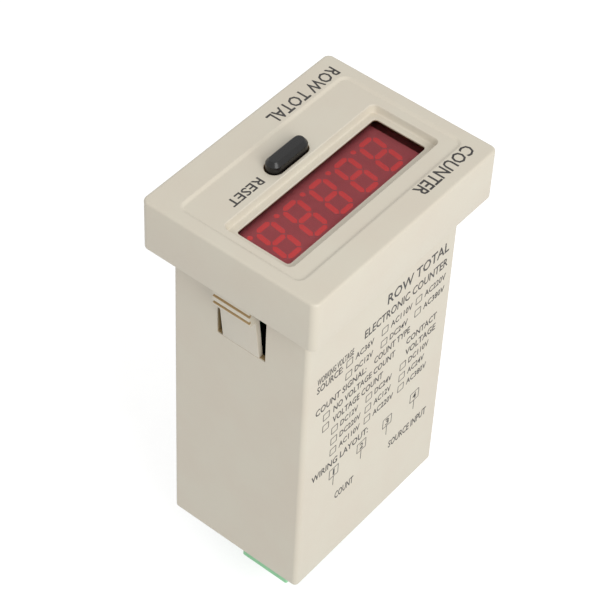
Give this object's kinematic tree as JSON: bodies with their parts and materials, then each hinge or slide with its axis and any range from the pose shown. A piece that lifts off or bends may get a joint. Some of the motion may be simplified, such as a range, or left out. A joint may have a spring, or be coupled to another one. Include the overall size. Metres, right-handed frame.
{
  "type": "electronic row counter",
  "caption": "Deep rectangular panel-mounted counter with a wide bezel, a red window over a digit row, an oblong reset key, side snap latches and a plug-in terminal block at the rear.",
  "frame": {"origin": "centre of the plane where the bezel's rear rim meets the front of the panel", "axes": "+Z out of the display face, +X along the reading direction of the digits, +Y towards the top of the digits"},
  "size_m": [0.072, 0.0544, 0.1388],
  "materials": {
    "case_plastic": "fine satin texture, warm off-white moulded plastic",
    "red_filter": "clear red acrylic",
    "key_plastic": "black moulded plastic, slightly glossy",
    "pin_plastic": "natural acetal",
    "chip_epoxy": "black moulded epoxy",
    "spring_steel": "drawn wire",
    "board_laminate": "green solder mask on glass-fibre laminate",
    "zinc_steel": "zinc plated",
    "core_steel": "laminated electrical steel, varnished",
    "bobbin_nylon": "glass-filled nylon",
    "winding_tape": "yellow polyester tape over copper wire",
    "capacitor_sleeve": "printed heat-shrink sleeve",
    "crystal_can": "plated can",
    "varistor_coat": "dipped epoxy",
    "coupler_white": "white moulded epoxy",
    "display_resin": "grey display face with diffused red segments",
    "terminal_plastic": "pale green moulded nylon",
    "tinned_brass": "tin plated"
  },
  "bodies": {
    "case": {"front_bezel": "case_plastic", "housing": "case_plastic", "window_lens": "red_filter", "key_switch_body": "chip_epoxy", "key_return_spring": "spring_steel", "display_board": "board_laminate", "main_board": "board_laminate", "board_screws": "zinc_steel", "board_link": "chip_epoxy", "transformer_core": "core_steel", "transformer_bobbin": "bobbin_nylon", "transformer_winding": "winding_tape", "main_capacitor": "capacitor_sleeve", "output_capacitor": "capacitor_sleeve", "bridge_rectifier": "chip_epoxy", "voltage_regulator": "chip_epoxy", "crystal": "crystal_can", "surge_varistor": "varistor_coat", "microcontroller": "chip_epoxy", "memory_chip": "chip_epoxy", "optocoupler": "coupler_white", "terminal_header": "terminal_plastic", "header_pins": "tinned_brass", "led_display": "display_resin"},
    "reset_key": {"reset_key_cap": "key_plastic", "key_stem": "pin_plastic"},
    "right_latch": {"latch_right": "case_plastic"},
    "left_latch": {"latch_left": "case_plastic"},
    "plug": {"terminal_plug": "terminal_plastic", "plug_contacts": "tinned_brass"},
    "screw_1": {"terminal_screw_1": "zinc_steel"},
    "clamp_1": {"wire_clamp_1": "zinc_steel"},
    "screw_2": {"terminal_screw_2": "zinc_steel"},
    "clamp_2": {"wire_clamp_2": "zinc_steel"},
    "screw_3": {"terminal_screw_3": "zinc_steel"},
    "clamp_3": {"wire_clamp_3": "zinc_steel"},
    "screw_4": {"terminal_screw_4": "zinc_steel"},
    "clamp_4": {"wire_clamp_4": "zinc_steel"}
  },
  "joints": [
    {"name": "reset_press", "type": "slide", "parent": "case", "child": "reset_key", "axis": [0, 0, -1], "range_m": [0, 0.001], "stiffness_N_per_m": 1200, "springref_m": -0.0008, "deforming": ["key_return_spring"]},
    {"name": "right_latch_flex", "type": "hinge", "parent": "case", "child": "right_latch", "pos_m": [0.02894, 0, -0.0213], "axis": [0, -1, 0], "range_deg": [0, 14], "stiffness_Nm_per_rad": 0.4, "springref_deg": -1.72},
    {"name": "left_latch_flex", "type": "hinge", "parent": "case", "child": "left_latch", "pos_m": [-0.02894, 0, -0.0213], "axis": [0, 1, 0], "range_deg": [0, 14], "stiffness_Nm_per_rad": 0.4, "springref_deg": -1.72},
    {"name": "plug_pull", "type": "slide", "parent": "case", "child": "plug", "axis": [0, 0, -1], "range_m": [0, 0.012]},
    {"name": "screw_1_turn", "type": "hinge", "parent": "plug", "child": "screw_1", "pos_m": [-0.01524, 0.0082, -0.1105], "axis": [0, 1, 0], "range_deg": [-1081, 0]},
    {"name": "clamp_1_lift", "type": "slide", "parent": "plug", "child": "clamp_1", "axis": [0, 1, 0], "range_m": [0, 0.0015]},
    {"name": "screw_2_turn", "type": "hinge", "parent": "plug", "child": "screw_2", "pos_m": [-0.00508, 0.0082, -0.1105], "axis": [0, 1, 0], "range_deg": [-1081, 0]},
    {"name": "clamp_2_lift", "type": "slide", "parent": "plug", "child": "clamp_2", "axis": [0, 1, 0], "range_m": [0, 0.0015]},
    {"name": "screw_3_turn", "type": "hinge", "parent": "plug", "child": "screw_3", "pos_m": [0.00508, 0.0082, -0.1105], "axis": [0, 1, 0], "range_deg": [-1081, 0]},
    {"name": "clamp_3_lift", "type": "slide", "parent": "plug", "child": "clamp_3", "axis": [0, 1, 0], "range_m": [0, 0.0015]},
    {"name": "screw_4_turn", "type": "hinge", "parent": "plug", "child": "screw_4", "pos_m": [0.01524, 0.0082, -0.1105], "axis": [0, 1, 0], "range_deg": [-1081, 0]},
    {"name": "clamp_4_lift", "type": "slide", "parent": "plug", "child": "clamp_4", "axis": [0, 1, 0], "range_m": [0, 0.0015]}
  ],
  "couplings": [
    {"joint": "screw_1_turn", "follows": "clamp_1_lift", "rad_per_m": -12566},
    {"joint": "screw_2_turn", "follows": "clamp_2_lift", "rad_per_m": -12566},
    {"joint": "screw_3_turn", "follows": "clamp_3_lift", "rad_per_m": -12566},
    {"joint": "screw_4_turn", "follows": "clamp_4_lift", "rad_per_m": -12566}
  ]
}
